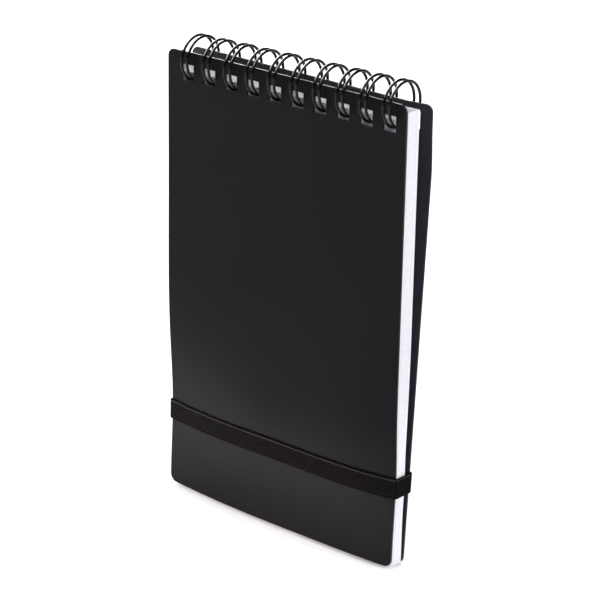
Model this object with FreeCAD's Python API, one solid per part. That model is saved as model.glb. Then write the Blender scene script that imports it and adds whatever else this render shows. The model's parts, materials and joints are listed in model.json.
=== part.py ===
"""Pocket notebook, bound along its top edge with a twin-loop wire and held shut by an elastic band.

Millimetres. +Z is up the standing notebook, +X runs along its width and +Y from the front
cover to the back cover. The wire's axis lies over Y = 0, and Z = 0 is the lowest edge.
"""
import FreeCAD, Part

import math
import os

V = FreeCAD.Vector

# Covers: two equal sheets of polypropylene with rounded corners.
COVER_WIDTH = 90.0
COVER_HEIGHT = 140.0
COVER_THICKNESS = 0.6
CORNER_RADIUS = 2.4
FRONT_COVER_BOTTOM = 1.0

# Leaves: forty loose sheets, as wide as the covers and a little shorter, with square corners.
LEAF_COUNT = 40
LEAF_HEIGHT = 137.5
LEAF_THICKNESS = 0.1
LEAF_PITCH = 0.12
COVER_TO_LEAF_GAP = 0.1

# One row of square holes, punched alike through the covers and the leaves.
LOOP_COUNT = 10
LOOP_PITCH = 25.4 / 3
ROW_SHIFT = 1.0
HOLE_WIDTH = 4.2
HOLE_HEIGHT = 4.9
HOLE_BOTTOM_BELOW_TOP = 8.05

# Twin-loop wire: one coated steel wire, bent into ten hairpins and closed into rings.
WIRE_RADIUS = 0.4
RING_RADIUS = 6.8
PAIR_HALF_SPACING = 1.1
RING_BELOW_FRONT_COVER_TOP = 2.15
RING_BEHIND_FRONT_COVER = 4.9
RING_START = math.radians(-50.7)
RING_END = math.radians(283.0)

# Back cover: it touches the block at the bottom and leans away from it at the top.
BACK_COVER_GAP_AT_BOTTOM = 0.12
BACK_COVER_LEAN = 4.8

# Elastic band and the two rivets that hold its rear run to the back cover.
BAND_BOTTOM = 23.0
BAND_HEIGHT = 6.4
BAND_THICKNESS = 0.8
BAND_CLEARANCE = 0.1
BAND_CORNER_RADIUS = 0.7
RIVET_SPACING = 68.0
RIVET_RADIUS = 1.0
RIVET_HOLE_RADIUS = 1.05
RIVET_HEAD_RADIUS = 2.3
RIVET_HEAD_HEIGHT = 0.5
RIVET_FLANGE_HEIGHT = 0.35

# Heights and depths that follow from the values above.
front_cover_top = FRONT_COVER_BOTTOM + COVER_HEIGHT
axis_z = front_cover_top - RING_BELOW_FRONT_COVER_TOP
front_cover_y = -RING_BEHIND_FRONT_COVER
first_leaf_y = front_cover_y + COVER_THICKNESS + COVER_TO_LEAF_GAP
block_rear_y = first_leaf_y + (LEAF_COUNT - 1) * LEAF_PITCH + LEAF_THICKNESS
back_cover_bottom_y = block_rear_y + BACK_COVER_GAP_AT_BOTTOM
back_cover_lean = math.degrees(math.asin(BACK_COVER_LEAN / COVER_HEIGHT))
band_middle_z = BAND_BOTTOM + BAND_HEIGHT / 2
loop_places = [ROW_SHIFT + (n - (LOOP_COUNT - 1) / 2) * LOOP_PITCH for n in range(LOOP_COUNT)]


def save(shape, node):
    """Write one sub-part, and say how large it came out."""
    shape.exportStep("parts/" + node + ".step")
    print(f"{node}: {len(shape.Solids)} solid, {shape.Volume:.2f} mm3")


def rounded_plate(width, height, thickness):
    """A sheet standing on Z = 0, centred on X, with four rounded corners and its front at Y = 0."""
    half, r = width / 2, CORNER_RADIUS
    cut = r * (1 - math.cos(math.radians(45)))
    corners = [(half, 0, -1, 1), (half, height, -1, -1), (-half, height, 1, -1), (-half, 0, 1, 1)]
    arcs = []
    for n, (x, z, inward_x, inward_z) in enumerate(corners):
        on_side = V(x, 0, z + inward_z * r)
        on_end = V(x + inward_x * r, 0, z)
        middle = V(x + inward_x * cut, 0, z + inward_z * cut)
        ends = (on_end, on_side) if n % 2 == 0 else (on_side, on_end)
        arcs.append((ends[0], middle, ends[1]))
    edges = []
    for n, (start, middle, end) in enumerate(arcs):
        edges.append(Part.Arc(start, middle, end).toShape())
        edges.append(Part.makeLine(end, arcs[(n + 1) % len(arcs)][0]))
    return Part.Face(Part.Wire(edges)).extrude(V(0, thickness, 0))


def punched(plate, height, thickness):
    """The sheet with its row of square holes under the top edge."""
    hole_z = height - HOLE_BOTTOM_BELOW_TOP
    size = (HOLE_WIDTH, thickness + 2, HOLE_HEIGHT)
    holes = [Part.makeBox(*size, V(x - HOLE_WIDTH / 2, -1, hole_z)) for x in loop_places]
    return plate.cut(Part.makeCompound(holes))


def cover():
    """A punched cover standing on Z = 0 with its front face at Y = 0."""
    return punched(rounded_plate(COVER_WIDTH, COVER_HEIGHT, COVER_THICKNESS), COVER_HEIGHT, COVER_THICKNESS)


def make_front_cover():
    """The front cover hangs upright on the wire."""
    sheet = cover()
    sheet.translate(V(0, front_cover_y, FRONT_COVER_BOTTOM))
    return sheet


def make_back_cover():
    """The back cover stands on its lower edge and leans back, with two holes for the band's rivets."""
    sheet = cover()
    sheet.rotate(V(0, 0, 0), V(1, 0, 0), -back_cover_lean)
    sheet.translate(V(0, back_cover_bottom_y, 0))
    sheet.translate(V(0, 0, -sheet.BoundBox.ZMin))
    for x in (-RIVET_SPACING / 2, RIVET_SPACING / 2):
        sheet = sheet.cut(Part.makeCylinder(RIVET_HOLE_RADIUS, 10, V(x, 0, band_middle_z), V(0, 1, 0)))
    return sheet


def make_leaf(number):
    """One leaf of the block, counted from the front."""
    sheet = Part.makeBox(COVER_WIDTH, LEAF_THICKNESS, LEAF_HEIGHT, V(-COVER_WIDTH / 2, 0, 0))
    leaf = punched(sheet, LEAF_HEIGHT, LEAF_THICKNESS)
    leaf.translate(V(0, first_leaf_y + (number - 1) * LEAF_PITCH, axis_z - LEAF_HEIGHT))
    return leaf


def on_ring(x, angle):
    """The point at that angle on the ring's centre line, counted from +Y towards +Z."""
    return V(x, RING_RADIUS * math.cos(angle), axis_z + RING_RADIUS * math.sin(angle))


def along_ring(angle):
    """The direction in which the ring runs at that angle."""
    return V(0, -math.sin(angle), math.cos(angle))


def ring_arc(x, start, end):
    """Centre line of one wire of a pair, round the ring."""
    return Part.Arc(on_ring(x, start), on_ring(x, (start + end) / 2), on_ring(x, end)).toShape()


def hairpin_tip(x):
    """Half circle that joins the two wires of a pair, flat against the ring's tangent."""
    tip = on_ring(x, RING_END) + along_ring(RING_END) * PAIR_HALF_SPACING
    ends = (on_ring(x - PAIR_HALF_SPACING, RING_END), on_ring(x + PAIR_HALF_SPACING, RING_END))
    return Part.Arc(ends[0], tip, ends[1]).toShape()


def link(x, side):
    """Bend and half of the straight run that lead from a pair to its neighbour on that side."""
    back = along_ring(RING_START) * -1
    wire_x = x + side * PAIR_HALF_SPACING
    bend = PAIR_HALF_SPACING
    start = on_ring(wire_x, RING_START)
    cut = 1 - math.cos(math.radians(45))
    middle = start + back * (bend * math.sin(math.radians(45))) + V(side * bend * cut, 0, 0)
    end = start + back * bend + V(side * bend, 0, 0)
    halfway = V(x + side * LOOP_PITCH / 2, end.y, end.z)
    return [Part.Arc(start, middle, end).toShape(), Part.makeLine(end, halfway)]


def make_wire_loop(number):
    """One double loop of the wire, from halfway to its left neighbour to halfway to its right one."""
    x = loop_places[number - 1]
    path = [
        ring_arc(x - PAIR_HALF_SPACING, RING_START, RING_END),
        hairpin_tip(x),
        ring_arc(x + PAIR_HALF_SPACING, RING_END, RING_START),
    ]
    if number > 1:
        path = link(x, -1)[::-1] + path
    if number < LOOP_COUNT:
        path = path + link(x, 1)
    spine = Part.Wire(Part.__sortEdges__(path))
    first = spine.OrderedEdges[0]
    start = spine.OrderedVertexes[0].Point
    other = first.valueAt(first.FirstParameter)
    at_first = other.distanceToPoint(start) < 1e-6
    direction = first.tangentAt(first.FirstParameter if at_first else first.LastParameter)
    section = Part.Wire(Part.makeCircle(WIRE_RADIUS, start, direction))
    loop = spine.makePipeShell([section], True, False)
    expected = math.pi * WIRE_RADIUS**2 * spine.Length
    print(f"wire loop {number}: volume is {loop.Volume / expected:.4f} of section times length")
    return loop


def band_outline(clearance):
    """Rounded rectangle round the covers at the band's height, as a face."""
    half = COVER_WIDTH / 2 + clearance
    front = front_cover_y - clearance
    rear = back_cover_bottom_y + COVER_THICKNESS + clearance
    rear += BACK_COVER_LEAN * (BAND_BOTTOM + BAND_HEIGHT) / COVER_HEIGHT
    box = Part.makeBox(2 * half, rear - front, BAND_HEIGHT, V(-half, front, BAND_BOTTOM))
    upright = [e for e in box.Edges if abs(e.tangentAt(0).z) > 0.9]
    radius = BAND_CORNER_RADIUS if clearance > BAND_CLEARANCE else BAND_CORNER_RADIUS / 2
    return box.makeFillet(radius, upright)


def make_elastic_band():
    """Closed loop of flat woven elastic, with two holes for its rivets in the rear run."""
    band = band_outline(BAND_CLEARANCE + BAND_THICKNESS).cut(band_outline(BAND_CLEARANCE))
    for x in (-RIVET_SPACING / 2, RIVET_SPACING / 2):
        band = band.cut(Part.makeCylinder(RIVET_HOLE_RADIUS, 10, V(x, 0, band_middle_z), V(0, 1, 0)))
    return band


def make_rivet(x):
    """Flat-headed rivet: head behind the band, shank through both, flange inside the back cover."""
    band_rear = band_outline(BAND_CLEARANCE + BAND_THICKNESS).BoundBox.YMax + 0.02
    lean = BACK_COVER_LEAN / COVER_HEIGHT
    inside = back_cover_bottom_y + lean * (band_middle_z - RIVET_HEAD_RADIUS) - 0.02
    head_edge = RIVET_HEAD_HEIGHT / 2
    outline = [
        V(0, inside - RIVET_FLANGE_HEIGHT, 0),
        V(RIVET_HEAD_RADIUS, inside - RIVET_FLANGE_HEIGHT, 0),
        V(RIVET_HEAD_RADIUS, inside, 0),
        V(RIVET_RADIUS, inside, 0),
        V(RIVET_RADIUS, band_rear, 0),
        V(RIVET_HEAD_RADIUS, band_rear, 0),
        V(RIVET_HEAD_RADIUS, band_rear + head_edge, 0),
        V(RIVET_HEAD_RADIUS - head_edge, band_rear + RIVET_HEAD_HEIGHT, 0),
        V(0, band_rear + RIVET_HEAD_HEIGHT, 0),
    ]
    profile = Part.Face(Part.makePolygon(outline + [outline[0]]))
    rivet = profile.revolve(V(0, 0, 0), V(0, 1, 0), 360)
    rivet.translate(V(x, 0, band_middle_z))
    return rivet


os.makedirs("parts", exist_ok=True)
save(make_front_cover(), "front_cover")
save(make_back_cover(), "back_cover")
for number in range(1, LEAF_COUNT + 1):
    save(make_leaf(number), f"leaf_{number:02d}")
for number in range(1, LOOP_COUNT + 1):
    save(make_wire_loop(number), f"wire_loop_{number:02d}")
save(make_elastic_band(), "elastic_band")
save(make_rivet(-RIVET_SPACING / 2), "band_rivet_left")
save(make_rivet(RIVET_SPACING / 2), "band_rivet_right")
print(f"binding axis at z = {axis_z:.3f} mm")
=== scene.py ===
import json
import math

import bpy
import numpy as np
from mathutils import Euler, Matrix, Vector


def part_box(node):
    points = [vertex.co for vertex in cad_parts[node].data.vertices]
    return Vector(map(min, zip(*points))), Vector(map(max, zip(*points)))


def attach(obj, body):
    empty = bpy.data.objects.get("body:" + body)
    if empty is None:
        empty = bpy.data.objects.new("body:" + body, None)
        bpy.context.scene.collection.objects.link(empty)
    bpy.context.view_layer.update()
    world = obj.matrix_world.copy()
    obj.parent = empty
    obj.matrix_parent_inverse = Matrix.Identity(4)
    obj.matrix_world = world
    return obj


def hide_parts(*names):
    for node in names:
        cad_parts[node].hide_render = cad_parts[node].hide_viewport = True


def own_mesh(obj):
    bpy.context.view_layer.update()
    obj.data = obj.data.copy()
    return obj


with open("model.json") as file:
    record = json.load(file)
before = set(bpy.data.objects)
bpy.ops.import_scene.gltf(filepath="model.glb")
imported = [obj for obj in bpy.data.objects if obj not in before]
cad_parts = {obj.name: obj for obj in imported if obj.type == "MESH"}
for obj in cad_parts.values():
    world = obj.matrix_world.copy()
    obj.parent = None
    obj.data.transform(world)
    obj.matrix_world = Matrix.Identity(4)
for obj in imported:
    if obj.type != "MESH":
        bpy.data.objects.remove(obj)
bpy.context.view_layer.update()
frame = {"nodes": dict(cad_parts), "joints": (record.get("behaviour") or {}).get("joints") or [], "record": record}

# ---------------------------------------------------------------------------------------------
# Back cover: a sheet of black polypropylene with a soft-touch lacquer outside, die-cut with
# rounded corners and one row of square holes. It leans away from the paper, and the rings draw its
# top in again. Shapes are worked out in millimetres.
# ---------------------------------------------------------------------------------------------
MM = 0.001
# Both covers are cut to one width from one sheet, so the front cover's box serves for the two.
cover_low, cover_high = (np.array(corner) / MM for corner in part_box("front_cover"))
axis_z = frame["joints"][0]["pos_m"][2] / MM
half_width = cover_high[0]
front_y = cover_low[1]
cover_thickness = cover_high[1] - front_y
cover_height = cover_high[2] - cover_low[2]
corner_radius = 2.4
loop_count = 10
loop_pitch = 25.4 / 3
row_shift = 1.0
loop_places = row_shift + (np.arange(loop_count) - (loop_count - 1) / 2) * loop_pitch
hole_width = 4.4
back_cover_height = 138.8
back_foot_depth = 5.42
back_lean = 0.0481
bend_start, bend_length, bend_depth = 117, 21, 1.42
flare_height = 139
right_flare, right_flare_rise, left_flare = 0.55, 0.85, 0.1


def ease(t):
    """Smooth step from 0 to 1: 3 t squared less 2 t cubed, held at both ends."""
    t = np.clip(t, 0, 1)
    return t * t * (3 - 2 * t)


def grid_lines(stops, step):
    """Grid lines through every stop, with evenly spaced ones between, at most a step apart."""
    stops = np.unique(np.round(stops, 6))
    counts = [max(1, math.ceil(gap / step)) for gap in np.diff(stops)]
    runs = [np.linspace(a, b, n + 1)[:-1] for a, b, n in zip(stops, stops[1:], counts)]
    return np.concatenate(runs + [stops[-1:]])


def round_corners(x, z, half, height, radius):
    """Each corner square of the grid is drawn in to a quarter disc, by the elliptic map
    a -> a sqrt(1 - b b / 2), b -> b sqrt(1 - a a / 2) of its two coordinates."""
    a = (np.abs(x) - half + radius) / radius
    b = (np.abs(z - height / 2) - height / 2 + radius) / radius
    corner = (a > 0) & (b > 0)
    in_a, in_b = np.clip(a, 0, 1), np.clip(b, 0, 1)
    new_x = np.sign(x) * (half - radius + in_a * np.sqrt(1 - in_b**2 / 2) * radius)
    reach = height / 2 - radius + in_b * np.sqrt(1 - in_a**2 / 2) * radius
    new_z = height / 2 + np.sign(z - height / 2) * reach
    return np.where(corner, new_x, x), np.where(corner, new_z, z)


def punched_sheet(name, half, height, low, depth, step, strip, hole, radius=0.0, droop=0.0,
                  faces_back=False):
    """A sheet as a grid of x and z, corners rounded and hole cells left out. strip is what is left
    above the holes and hole is their height. depth(x, z) says how far back the sheet lies, and droop
    lets its upper left corner down."""
    corner = np.linspace(0, radius, 6)
    hole_top, hole_low = height - strip, height - strip - hole
    hole_sides = np.concatenate([loop_places - hole_width / 2, loop_places + hole_width / 2])
    xs = grid_lines(np.concatenate([corner - half, half - corner, hole_sides]), step)
    zs = grid_lines(np.concatenate([corner, [hole_low, hole_top], height - corner]), step)
    xs = xs[np.abs(xs[:, None] - loop_places).min(1) > hole_width / 2 - 0.01]
    zs = zs[(zs < hole_low + 0.01) | (zs > hole_top - 0.01)]
    x, z = np.meshgrid(xs, zs, indexing="ij")
    if radius:
        x, z = round_corners(x, z, half, height, radius)
    z = z - droop * (half - x) / (2 * half) * z / height
    points = np.stack([x, depth(x, z + low), z + low], axis=-1).reshape(-1, 3) * MM
    index = np.arange(len(points)).reshape(len(xs), len(zs))
    quads = np.stack([index[:-1, :-1], index[1:, :-1], index[1:, 1:], index[:-1, 1:]], axis=-1)
    in_x = np.abs((xs[1:] + xs[:-1])[:, None] / 2 - loop_places).min(1) < hole_width / 2
    in_z = np.abs((zs[1:] + zs[:-1]) / 2 - (hole_top + hole_low) / 2) < hole / 2
    quads = quads[~(in_x[:, None] & in_z)]
    mesh = bpy.data.meshes.new(name)
    mesh.from_pydata(points, [], (quads[:, ::-1] if faces_back else quads).tolist())
    sheet = bpy.data.objects.new(name, mesh)
    bpy.context.collection.objects.link(sheet)
    return sheet


def thicken(sheet, thickness):
    """Give a sheet its thickness, behind its outer face."""
    solid = sheet.modifiers.new("thickness", "SOLIDIFY")
    solid.thickness = thickness * MM
    solid.offset = -1
    return solid


def new_material(name, color, roughness, specular):
    """A material with its colour and gloss set on the shader itself, and what it takes to add to it."""
    material = bpy.data.materials.new(name)
    material.use_nodes = True
    tree = material.node_tree
    shader = tree.nodes["Principled BSDF"]
    shader.inputs["Base Color"].default_value = (*color, 1)
    shader.inputs["Roughness"].default_value = roughness
    shader.inputs["Specular IOR Level"].default_value = specular
    return material, tree, shader


def remap(tree, value, low, high, from_low=0.0, from_high=1.0):
    """A Map Range node: carries a value on a straight line from one range to another."""
    node = tree.nodes.new("ShaderNodeMapRange")
    node.inputs["From Min"].default_value, node.inputs["From Max"].default_value = from_low, from_high
    node.inputs["To Min"].default_value, node.inputs["To Max"].default_value = low, high
    tree.links.new(value, node.inputs["Value"])
    return node.outputs["Result"]


def speckle(tree, shader, place, scale, colors=None, gloss=None, bump=None):
    """Let a noise pattern of a given scale vary the shader's colour, its roughness and its surface.
    bump holds the strength and the height of the relief, in metres."""
    thin, thick = 0.3, 0.7
    noise = tree.nodes.new("ShaderNodeTexNoise")
    noise.inputs["Scale"].default_value = scale
    noise.inputs["Detail"].default_value = 4
    tree.links.new(place, noise.inputs["Vector"])
    if colors:
        tint = tree.nodes.new("ShaderNodeValToRGB")
        dark, light = tint.color_ramp.elements
        dark.position, light.position = thin, thick
        dark.color, light.color = (*colors[0], 1), (*colors[1], 1)
        tree.links.new(noise.outputs["Fac"], tint.inputs["Fac"])
        tree.links.new(tint.outputs["Color"], shader.inputs["Base Color"])
    if gloss:
        tree.links.new(remap(tree, noise.outputs["Fac"], *gloss, thin, thick), shader.inputs["Roughness"])
    if bump:
        relief = tree.nodes.new("ShaderNodeBump")
        relief.inputs["Strength"].default_value, relief.inputs["Distance"].default_value = bump
        tree.links.new(noise.outputs["Fac"], relief.inputs["Height"])
        tree.links.new(relief.outputs["Normal"], shader.inputs["Normal"])


def plastic(name, colors, gloss, specular, grain):
    """Black plastic: clouded a little in colour and gloss, with a fine grain."""
    cloud_scale, grain_scale = 35, 3600
    material, tree, shader = new_material(name, colors[0], gloss[0], specular)
    place = tree.nodes.new("ShaderNodeTexCoord").outputs["Object"]
    speckle(tree, shader, place, cloud_scale, colors=colors, gloss=gloss)
    speckle(tree, shader, place, grain_scale, bump=(grain, 0.00004))
    return material


def back_outer_y(x, z):
    """Outer face of the back cover: a straight lean that bends in towards the rings at the top,
    with a flare towards the right edge and a slighter one towards the upper left."""
    lean = back_foot_depth + back_lean * z - bend_depth * ease((z - bend_start) / bend_length)
    share_up = z / flare_height
    right = (right_flare + right_flare_rise * share_up) * ease((x - 38) / 8)
    left = left_flare * share_up * ease((-15 - x) / 30)
    return front_y + lean + right + left


cover_materials = (
    plastic("soft_touch_lacquer", ((0.0043, 0.0037, 0.0047), (0.0057, 0.0049, 0.0061)),
            gloss=(0.42, 0.50), specular=0.055, grain=0.25),
    plastic("polypropylene", ((0.0205, 0.0188, 0.0250), (0.0245, 0.0225, 0.0300)),
            gloss=(0.36, 0.44), specular=0.15, grain=0.15),
    # The rim is bare cut polypropylene. Its colour is made lighter than the lacquer partly as a painted highlight,
    # so the top cut edge shows a light line.
    plastic("cut_polypropylene_painted_highlight", ((0.012, 0.012, 0.013), (0.024, 0.023, 0.024)),
            gloss=(0.36, 0.46), specular=0.12, grain=0.10),
)


def finish_cover(sheet, node):
    """Thicken a cover, ease its cut edges and give it its lacquered face, its bare face and its rim, whose lighter
    colour is partly painted highlight.
    """
    sheet.data.shade_smooth()
    solid = thicken(sheet, cover_thickness)
    solid.material_offset, solid.material_offset_rim = 1, 2
    bevel = sheet.modifiers.new("cut_edge", "BEVEL")
    bevel.width = 0.08 * MM
    bevel.segments = 2
    bevel.limit_method = "ANGLE"
    bevel.angle_limit = math.radians(50)
    bevel.harden_normals = True
    for material in cover_materials:
        sheet.data.materials.append(material)
    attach(sheet, node)
    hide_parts(node)


back_cover = punched_sheet("back_cover_bowed", half_width, back_cover_height, low=0.05,
                           depth=back_outer_y, step=2.4, strip=2.3, hole=5.2, radius=corner_radius,
                           droop=-0.8, faces_back=True)
finish_cover(back_cover, "back_cover")

# ---------------------------------------------------------------------------------------------
# Front cover: the twin of the back cover. The elastic band bends it: drawn back at both side
# edges, and swollen forward between them.
# ---------------------------------------------------------------------------------------------


def bulge(height, foot, peak, place, fade):
    """A bend that grows from foot to peak as a smooth step over the height of place. Above that it
    fades as a bell curve: the peak times e to the minus square of the way above over fade."""
    above = peak * np.exp(-(((height - place) / fade) ** 2))
    return np.where(height > place, above, foot + (peak - foot) * ease(height / place))


def front_outer_y(x, z):
    """Outer face of the front cover. At the band the side edges are drawn back and the middle swells
    forward, and the top is slightly hollow. Towards each edge the middle's bend gives way to the
    edge's as a power of the way out, later at the right than at the left."""
    height = z - cover_low[2]
    left = bulge(height, foot=1.25, peak=2.0, place=26, fade=24)
    right = bulge(height, foot=-0.25, peak=0.7, place=28, fade=14)
    swell = bulge(height, foot=1.3, peak=2.2, place=26, fade=40)
    hollow = 0.2 * ease((height - 95) / 45)
    way_out = np.abs(x) / half_width
    side = np.where(x < 0, way_out**2.2, way_out**4)
    return front_y + (hollow - swell) * (1 - side) + (np.where(x < 0, left, right) - hollow) * side


front_cover = punched_sheet("front_cover_bowed", half_width, cover_height, cover_low[2], front_outer_y,
                            step=1.6, strip=3.85, hole=4.7, radius=corner_radius)
finish_cover(front_cover, "front_cover")

# ---------------------------------------------------------------------------------------------
# Leaves: forty loose sheets of white writing paper, punched like the covers. The band squeezes
# them near the foot. Higher up they spread, with air between them, and the block hangs from the
# wire a little lower on its left.
# ---------------------------------------------------------------------------------------------
leaf_low, leaf_high = (np.array(corner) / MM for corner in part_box("leaf_01"))
leaf_names = sorted(name for name in frame["nodes"] if name.startswith("leaf_"))
body_of = {node: body for body, nodes in frame["record"]["behaviour"]["bodies"].items() for node in nodes}
leaf_height = leaf_high[2] - leaf_low[2]
leaf_thickness = 0.09
leaf_strip, leaf_hole = 2.8, 5.3
sheet_gap = 0.05
packed_thickness = len(leaf_names) * (leaf_thickness + 0.005)
squeezed_depth, spread_depth = 4.7, 1.1
block_droop = 1.4


def block_front_y(x, z):
    """Front of the block, just behind the front cover. It follows three fifths of the cover's swell,
    and stands off a little more near the top."""
    cover = front_outer_y(x, z) + cover_thickness + sheet_gap
    flat = front_y + cover_thickness + sheet_gap
    return cover + 0.4 * np.clip(flat - cover, 0, None) + 0.2 * ease((z - 90) / 40)


def block_rear_y(x, z):
    """Rear of the block: squeezed at the foot and spreading upwards, but never thinner than its paper."""
    spread = front_y + squeezed_depth + spread_depth * ease((z - 11) / 60)
    return np.maximum(spread, block_front_y(x, z) + packed_thickness)


def leaf_depth(share, seed):
    """Depth of one leaf at its share of the way through the block, with a slow ripple of its own, the
    product of a sine across it and a sine up it."""
    phase = np.random.default_rng(seed).uniform(0, 2 * math.pi, 2)
    ripple_height = 0.012

    def depth(x, z):
        front, rear = block_front_y(x, z), block_rear_y(x, z) - leaf_thickness
        ripple = np.sin(x / 9 + phase[0]) * np.sin(z / 14 + phase[1])
        return front + (rear - front) * share + ripple_height * ripple

    return depth


paper, tree, shader = new_material("writing_paper", (0.78, 0.77, 0.81), roughness=0.85, specular=0.1)
place = tree.nodes.new("ShaderNodeTexCoord").outputs["Object"]
speckle(tree, shader, place, 900, colors=((0.75, 0.742, 0.785), (0.80, 0.79, 0.835)), bump=(0.15, 0.00003))
for number, leaf_name in enumerate(leaf_names):
    trim = np.random.default_rng(500 + number).uniform(-0.12, 0.04)
    depth = leaf_depth(number / (len(leaf_names) - 1), number)
    leaf = punched_sheet(f"{leaf_name}_paper", half_width + trim, leaf_height + trim, leaf_low[2], depth,
                         step=4.0, strip=leaf_strip, hole=leaf_hole, droop=block_droop)
    thicken(leaf, leaf_thickness)
    leaf.data.materials.append(paper)
    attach(leaf, body_of[leaf_name])
    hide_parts(leaf_name)

# ---------------------------------------------------------------------------------------------
# Twin-loop wire: one continuous steel wire with a glossy black nylon coat. It is bent into ten
# hairpins linked at their feet, laid into the holes and pressed round into rings. Most rings lean
# over to the right as far as the holes let them, and the row rises a little to the right.
# ---------------------------------------------------------------------------------------------
wire_radius = 0.43
ring_radius = 6.8
pair_half_spacing = 1.1
ring_start, ring_end = math.radians(-50.7), math.radians(283.0)
wire_sides = 14
middle_lean, lean_fall, most_lean = 1.0, 0.65, 0.62
row_rise = 0.5


def wire_path():
    """The wire unrolled: at each loop, round the foot's bend, up one side, round the tip, and down the
    other side. Returns how far along the row it lies, and at what angle round the ring."""
    foot, turn = np.linspace(0, math.pi / 2, 7), np.linspace(0, math.pi, 13)
    side = np.linspace(ring_start, ring_end, 88)[1:-1]
    reach = pair_half_spacing / ring_radius
    foot_x = pair_half_spacing * (2 - np.cos(foot))
    side_x = np.full(side.shape, pair_half_spacing)
    foot_angle = ring_start - reach * np.sin(foot)
    x = [-foot_x[::-1], -side_x, -pair_half_spacing * np.cos(turn), side_x, foot_x]
    angle = [foot_angle[::-1], side, ring_end + reach * np.sin(turn), side[::-1], foot_angle]
    along = (loop_places[:, None] + np.concatenate(x)).ravel()
    angle = np.tile(np.concatenate(angle), len(loop_places))
    return along[len(foot) - 1 : 1 - len(foot)], angle[len(foot) - 1 : 1 - len(foot)]


def skin(name, rows, material, loop=False):
    """Skin over rows of points. Each row is a closed ring. The rows close into a loop or end in caps."""
    index = np.arange(rows.shape[0] * rows.shape[1]).reshape(rows.shape[:2])
    beside, ahead = np.roll(index, -1, axis=1), np.roll(index, -1, axis=0)
    quads = np.stack([index, beside, np.roll(ahead, -1, axis=1), ahead], axis=-1)
    faces = (quads if loop else quads[:-1]).reshape(-1, 4).tolist()
    if not loop:
        faces += [index[0, ::-1].tolist(), index[-1].tolist()]
    mesh = bpy.data.meshes.new(name)
    mesh.from_pydata(rows.reshape(-1, 3) * MM, [], faces)
    mesh.shade_smooth()
    mesh.materials.append(material)
    piece = bpy.data.objects.new(name, mesh)
    bpy.context.collection.objects.link(piece)
    return piece


along, angle = wire_path()
outward = np.stack([np.zeros_like(angle), np.cos(angle), np.sin(angle)], axis=-1)
across_row = (along - loop_places.mean()) / (loop_places[-1] - loop_places.mean())
lean = np.minimum(middle_lean - lean_fall * across_row, most_lean) * (1 + np.sin(angle)) / 2
path = ring_radius * outward
path += np.stack([along + lean, np.zeros_like(angle), axis_z + row_rise * across_row], axis=-1)
ahead = np.gradient(path, axis=0)
ahead /= np.linalg.norm(ahead, axis=1, keepdims=True)
across = np.cross(ahead, outward)
across /= np.linalg.norm(across, axis=1, keepdims=True)
up = np.cross(across, ahead)
around = np.linspace(0, 2 * math.pi, wire_sides + 1)[:-1, None]
rows = path[:, None] + wire_radius * (np.cos(around) * up[:, None] + np.sin(around) * across[:, None])

nylon, tree, shader = new_material("nylon_coated_wire", (0.0012, 0.0012, 0.0014), roughness=0.14,
                                   specular=0.2)
place = tree.nodes.new("ShaderNodeTexCoord").outputs["Object"]
speckle(tree, shader, place, 900, gloss=(0.09, 0.17), bump=(0.06, 0.00003))
binding_wire = skin("binding_wire", rows, nylon)
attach(binding_wire, "binding")
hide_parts(*sorted(name for name in frame["nodes"] if name.startswith("wire_loop_")))

# ---------------------------------------------------------------------------------------------
# Elastic band: flat woven elastic, corded along its length, closed into a loop round the whole
# pad. It lies tight on the covers, turns over their edges, and sags a little at the left.
# ---------------------------------------------------------------------------------------------
band_low, band_high = (np.array(corner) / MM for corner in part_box("elastic_band"))
band_middle = (band_low[2] + band_high[2]) / 2
band_height = band_high[2] - band_low[2]
band_thickness = 0.8
band_cords = 8
cord_height = 0.2
cord_points = 6
band_turn = 0.4
band_sag = 1.1


def band_z(x):
    """Height of the band's middle line. It sinks a little towards the right edge, and further towards
    the left one, as a power of the way out."""
    left, right = np.clip(-x / half_width, 0, 1), np.clip(x / half_width, 0, 1)
    return band_middle - band_sag * left**1.2 - 0.2 * right


def band_path():
    """The band's inner line, once round: front run, right side, rear run, left side, with a quarter
    circle at each corner. Returns its x and y, its outward direction, and for each point its share of
    the way from the front cover to the back cover."""
    run = np.linspace(-1, 1, 121) * (half_width - band_turn)
    front, back = front_outer_y(run, band_z(run)), back_outer_y(run, band_z(run))
    quarter = np.linspace(0, math.pi / 2, 8)[1:-1]
    side = np.linspace(0, 1, 12)
    halves = []
    for x, y, end_y, way in ((run, front, back[-1], -1), (run[::-1], back[::-1], front[0], 1)):
        slope = np.gradient(y, x)
        turn_y, last_y = y[-1] - way * band_turn, end_y + way * band_turn
        corner = np.stack([np.sin(quarter), way * np.cos(quarter)], axis=-1)
        next_corner = np.stack([np.cos(quarter), -way * np.sin(quarter)], axis=-1)
        centre = np.array([half_width - band_turn, 0])
        edge = np.stack([np.full(side.shape, half_width), turn_y + (last_y - turn_y) * side], axis=-1)
        turned = centre + [0, turn_y] + band_turn * corner
        turned_again = centre + [0, last_y] + band_turn * next_corner
        edge_out = np.tile([1.0, 0.0], (len(side), 1))
        face_out = np.stack([-slope, np.ones_like(slope)], axis=-1) * way / np.hypot(slope, 1)[:, None]
        mirror = [-way, 1]
        points = [np.stack([x, y], axis=-1)] + [part * mirror for part in (turned, edge, turned_again)]
        outs = [face_out] + [part * mirror for part in (corner, edge_out, next_corner)]
        share = np.concatenate([np.zeros(len(run) + len(quarter)), side, np.ones(len(quarter))])
        halves.append((np.concatenate(points), np.concatenate(outs), share if way < 0 else 1 - share))
    return [np.concatenate(parts) for parts in zip(*halves)]


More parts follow.
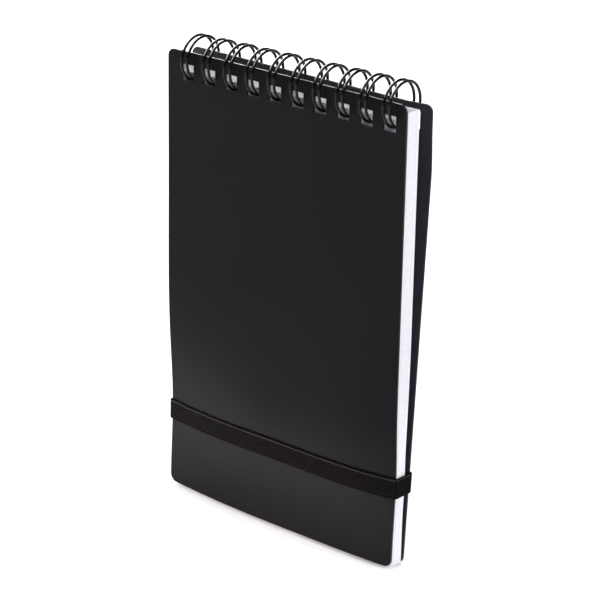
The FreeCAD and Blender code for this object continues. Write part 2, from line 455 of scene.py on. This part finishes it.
def band_section():
    """Section of the elastic, from its top down the outer face and up the inner one: rounded edges, and
    on both faces a row of soft cords, as a power of the absolute sine across its height."""
    across = np.linspace(1, -1, band_cords * cord_points + 1)
    cords = cord_height * np.abs(np.sin((across + 1) / 2 * math.pi * band_cords)) ** 0.6
    half = (band_thickness / 2 - cord_height + cords) * np.sqrt(1 - np.abs(across) ** 16 * 0.96)
    outer = np.stack([band_thickness / 2 + half, across * band_height / 2], axis=-1)
    inner = np.stack([band_thickness / 2 - half, across * band_height / 2], axis=-1)
    return np.concatenate([outer, inner[::-1]])


line, out, share = band_path()
section = band_section()
middle = band_z(line[:, :1])
heights = middle + section[:, 1]
x = line[:, :1] + out[:, :1] * section[:, 0]
y = line[:, 1:] + out[:, 1:] * section[:, 0]
y += (front_outer_y(line[:, :1], heights) - front_outer_y(line[:, :1], middle)) * (1 - share[:, None])
y += (back_outer_y(line[:, :1], heights) - back_outer_y(line[:, :1], middle)) * share[:, None]


def math_node(tree, operation, *values):
    """A Math node, each of whose inputs is a number or the socket that feeds it."""
    node = tree.nodes.new("ShaderNodeMath")
    node.operation = operation
    for socket, value in zip(node.inputs, values):
        if isinstance(value, bpy.types.NodeSocket):
            tree.links.new(value, socket)
        else:
            socket.default_value = value
    return node.outputs[0]


def wave(tree, place, direction, scale, distortion):
    """A pattern of soft parallel stripes, one after the other in the given direction."""
    stripes = tree.nodes.new("ShaderNodeTexWave")
    stripes.bands_direction = direction
    stripes.inputs["Scale"].default_value, stripes.inputs["Distortion"].default_value = scale, distortion
    tree.links.new(place, stripes.inputs["Vector"])
    return stripes.outputs["Fac"]


# The weave: painted shade in the grooves between the cords, threads across them, and a painted highlight as one
# light line near the top.
woven, tree, shader = new_material("woven_elastic", (0.005, 0.005, 0.005), roughness=0.7, specular=0.01)
uv_map = tree.nodes.new("ShaderNodeUVMap")
uv_map.uv_map = "weave"
place = uv_map.outputs["UV"]
# Painted shade: one stripe to each cord, dark in the grooves between the cords and light on the cords.
cords = wave(tree, place, "Y", math.pi / 10 * band_cords / band_height, distortion=0.3)
threads = wave(tree, place, "X", 0.75, distortion=1.5)
height_up = tree.nodes.new("ShaderNodeSeparateXYZ")
tree.links.new(place, height_up.inputs["Vector"])
# Painted highlight: a light line along the band near its top edge, where light would catch the edge cord.
painted_top_highlight = math_node(tree, "COMPARE", height_up.outputs["Y"], band_height / 2 - 0.42, 0.13)
shade = math_node(tree, "MULTIPLY", painted_top_highlight, 0.5)
shade = math_node(tree, "MULTIPLY_ADD", cords, 0.275, shade)
shade = math_node(tree, "MULTIPLY_ADD", threads, 0.225, shade)
# The ramp turns the sum into colour: painted shade in the grooves, the weave's threads, and the painted highlight
# near the top as the lightest tone.
tint = tree.nodes.new("ShaderNodeValToRGB")
tint.color_ramp.elements[0].color = (0.0010, 0.0010, 0.0010, 1)
tint.color_ramp.elements[1].color = (0.046, 0.043, 0.040, 1)
tint.color_ramp.elements.new(0.5).color = (0.0105, 0.0095, 0.0086, 1)
relief = tree.nodes.new("ShaderNodeBump")
relief.inputs["Strength"].default_value, relief.inputs["Distance"].default_value = 0.5, 0.00008
tree.links.new(shade, tint.inputs["Fac"])
tree.links.new(tint.outputs["Color"], shader.inputs["Base Color"])
tree.links.new(threads, relief.inputs["Height"])
tree.links.new(relief.outputs["Normal"], shader.inputs["Normal"])

rows = np.stack([x, y, np.broadcast_to(heights, x.shape)], axis=-1)
elastic_band = skin("elastic_band_corded", rows, woven, loop=True)
steps = np.linalg.norm(np.diff(line, axis=0, append=line[:1]), axis=1)
length = np.concatenate([[0], np.cumsum(steps)])
height = np.append(section[:, 1], section[0, 1])
u = np.stack([length[:-1], length[:-1], length[1:], length[1:]], axis=-1)[:, None]
v = np.stack([height[:-1], height[1:], height[1:], height[:-1]], axis=-1)[None]
weave = np.stack(np.broadcast_arrays(u, v), axis=-1).astype(np.float32)
elastic_band.data.uv_layers.new(name="weave").data.foreach_set("uv", weave.ravel())
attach(elastic_band, "back_cover")
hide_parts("elastic_band")
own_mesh(elastic_band)

# ---------------------------------------------------------------------------------------------
# Rivets: two small satin black rivets that hold the band's rear run to the back cover. A domed
# head lies on the elastic, and a flange is pressed flat inside the cover.
# ---------------------------------------------------------------------------------------------
head_radius = 2.3
shank_radius = 1.0
rim_height, dome_height = 0.12, 0.38
flange_thickness = 0.3
edge_easing = 0.1
rivet_clearance = 0.03

satin, tree, shader = new_material("satin_black_rivet", (0.012, 0.012, 0.013), roughness=0.35, specular=0.5)
place = tree.nodes.new("ShaderNodeTexCoord").outputs["Object"]
speckle(tree, shader, place, 1500, gloss=(0.28, 0.42), bump=(0.05, 0.00002))
for node in ("band_rivet_left", "band_rivet_right"):
    x = np.mean(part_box(node), axis=0)[0] / MM
    z = band_z(x)
    seat = back_outer_y(x, z)
    elastic_face = seat + band_thickness + rivet_clearance
    inner_face = seat - cover_thickness - rivet_clearance
    flange_face = inner_face - flange_thickness
    eased_radius = head_radius - edge_easing
    dome = np.linspace(0.06, math.pi / 2, 9)
    # Radius and depth of the turned profile, from the dome's crown down the shank to the flange's face.
    radius = [*(head_radius * np.sin(dome)), head_radius, eased_radius, shank_radius, shank_radius,
              eased_radius, head_radius, eased_radius, 0.2]
    depth = [*(elastic_face + rim_height + dome_height * np.cos(dome)), elastic_face + rim_height / 2,
             elastic_face, elastic_face, inner_face, inner_face, (inner_face + flange_face) / 2,
             flange_face, flange_face]
    radius, depth = np.array(radius)[:, None], np.array(depth)[:, None]
    turn = np.linspace(0, 2 * math.pi, 37)[:-1]
    across, up = x + radius * np.cos(turn), z + radius * np.sin(turn)
    ring = np.stack(np.broadcast_arrays(across, depth, up), axis=-1)
    rivet = skin(f"{node}_domed", ring, satin)
    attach(rivet, "back_cover")
    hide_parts(node)

# ---------------------------------------------------------------------------------------------
# Studio: a pale floor in an even white surround, five soft boxes, and a long lens that looks down on
# the notebook from the right. Glossy reflections see a dim surround instead of the white one, with
# one bright panel high at the left.
# ---------------------------------------------------------------------------------------------
floor_half = 3
floor_material, tree, shader = new_material("pale_floor", (0.95, 0.95, 0.95), roughness=0.9, specular=0.0)
corners = [(-floor_half, -floor_half, 0), (floor_half, -floor_half, 0), (floor_half, floor_half, 0),
           (-floor_half, floor_half, 0)]
floor_mesh = bpy.data.meshes.new("floor")
floor_mesh.from_pydata(corners, [], [(0, 1, 2, 3)])
floor_mesh.materials.append(floor_material)
floor = bpy.data.objects.new("floor", floor_mesh)
bpy.context.collection.objects.link(floor)

world = bpy.data.worlds.new("studio")
world.use_nodes = True
tree = world.node_tree
surround = tree.nodes["Background"].inputs
surround["Color"].default_value = (0.99, 0.99, 1.0, 1)
backdrop_light, backdrop_seen = 0.88, 1.02
dim_surround, bright_panel = 0.15, 80.0
rays = tree.nodes.new("ShaderNodeLightPath").outputs
direction = tree.nodes.new("ShaderNodeSeparateXYZ")
tree.links.new(tree.nodes.new("ShaderNodeTexCoord").outputs["Generated"], direction.inputs["Vector"])
at_left = math_node(tree, "COMPARE", direction.outputs["X"], -0.75, 0.12)
above = math_node(tree, "GREATER_THAN", direction.outputs["Z"], 0.42)
panel = math_node(tree, "MULTIPLY", at_left, above)
chosen = tree.nodes.new("ShaderNodeMix")
tree.links.new(rays["Is Glossy Ray"], chosen.inputs["Factor"])
tree.links.new(remap(tree, rays["Is Camera Ray"], backdrop_light, backdrop_seen), chosen.inputs["A"])
tree.links.new(remap(tree, panel, dim_surround, bright_panel), chosen.inputs["B"])
tree.links.new(chosen.outputs["Result"], surround["Strength"])
bpy.context.scene.world = world


def soft_box(name, place, aim, size, power, color=(1, 1, 1)):
    """A soft box at a place, turned towards a point. Its size is in metres and its power in watts."""
    lamp = bpy.data.lights.new(name, "AREA")
    lamp.shape = "RECTANGLE"
    lamp.size, lamp.size_y = size
    lamp.energy, lamp.color = power, color
    light = bpy.data.objects.new(name, lamp)
    bpy.context.collection.objects.link(light)
    away = np.array(aim) - np.array(place)
    tilt, heading = math.atan2(away[2], math.hypot(away[0], away[1])), math.atan2(-away[0], away[1])
    light.location, light.rotation_euler = place, (math.pi / 2 + tilt, 0, heading)


soft_box("left_strip", (-0.78, 0.1, 0.45), (0, 0, 0.12), size=(1.4, 0.03), power=6.0)
soft_box("low_strip", (-0.30, -0.25, 0.07), (0, 0, 0.11), size=(0.015, 0.13), power=0.08)
soft_box("table_glow", (-0.025, -0.032, 0.003), (-0.025, 0, 0.015), size=(0.14, 0.025), power=0.055,
         color=(1, 0.92, 0.88))
soft_box("back_left", (-0.75, 0.9, 0.55), (0, 0, 0.12), size=(0.7, 0.1), power=3.0)
soft_box("right", (0.9, 0.1, 0.45), (0, 0, 0.08), size=(0.5, 0.5), power=5.3)

look_down, turn_left, roll = math.radians(20.246), math.radians(40.465), math.radians(1.188)
camera_data = bpy.data.cameras.new("camera")
camera_data.sensor_width = 36
camera_data.lens = 150.6
camera_data.clip_end = 20
camera = bpy.data.objects.new("camera", camera_data)
bpy.context.collection.objects.link(camera)
aim = Euler((math.pi / 2 - look_down, 0, turn_left)).to_matrix()
camera.matrix_world = (aim @ Matrix.Rotation(roll, 3, "Z")).to_4x4()
camera.location = (0.4531, -0.52675, 0.3280)
bpy.context.scene.camera = camera
bpy.context.scene.view_settings.view_transform = "Standard"
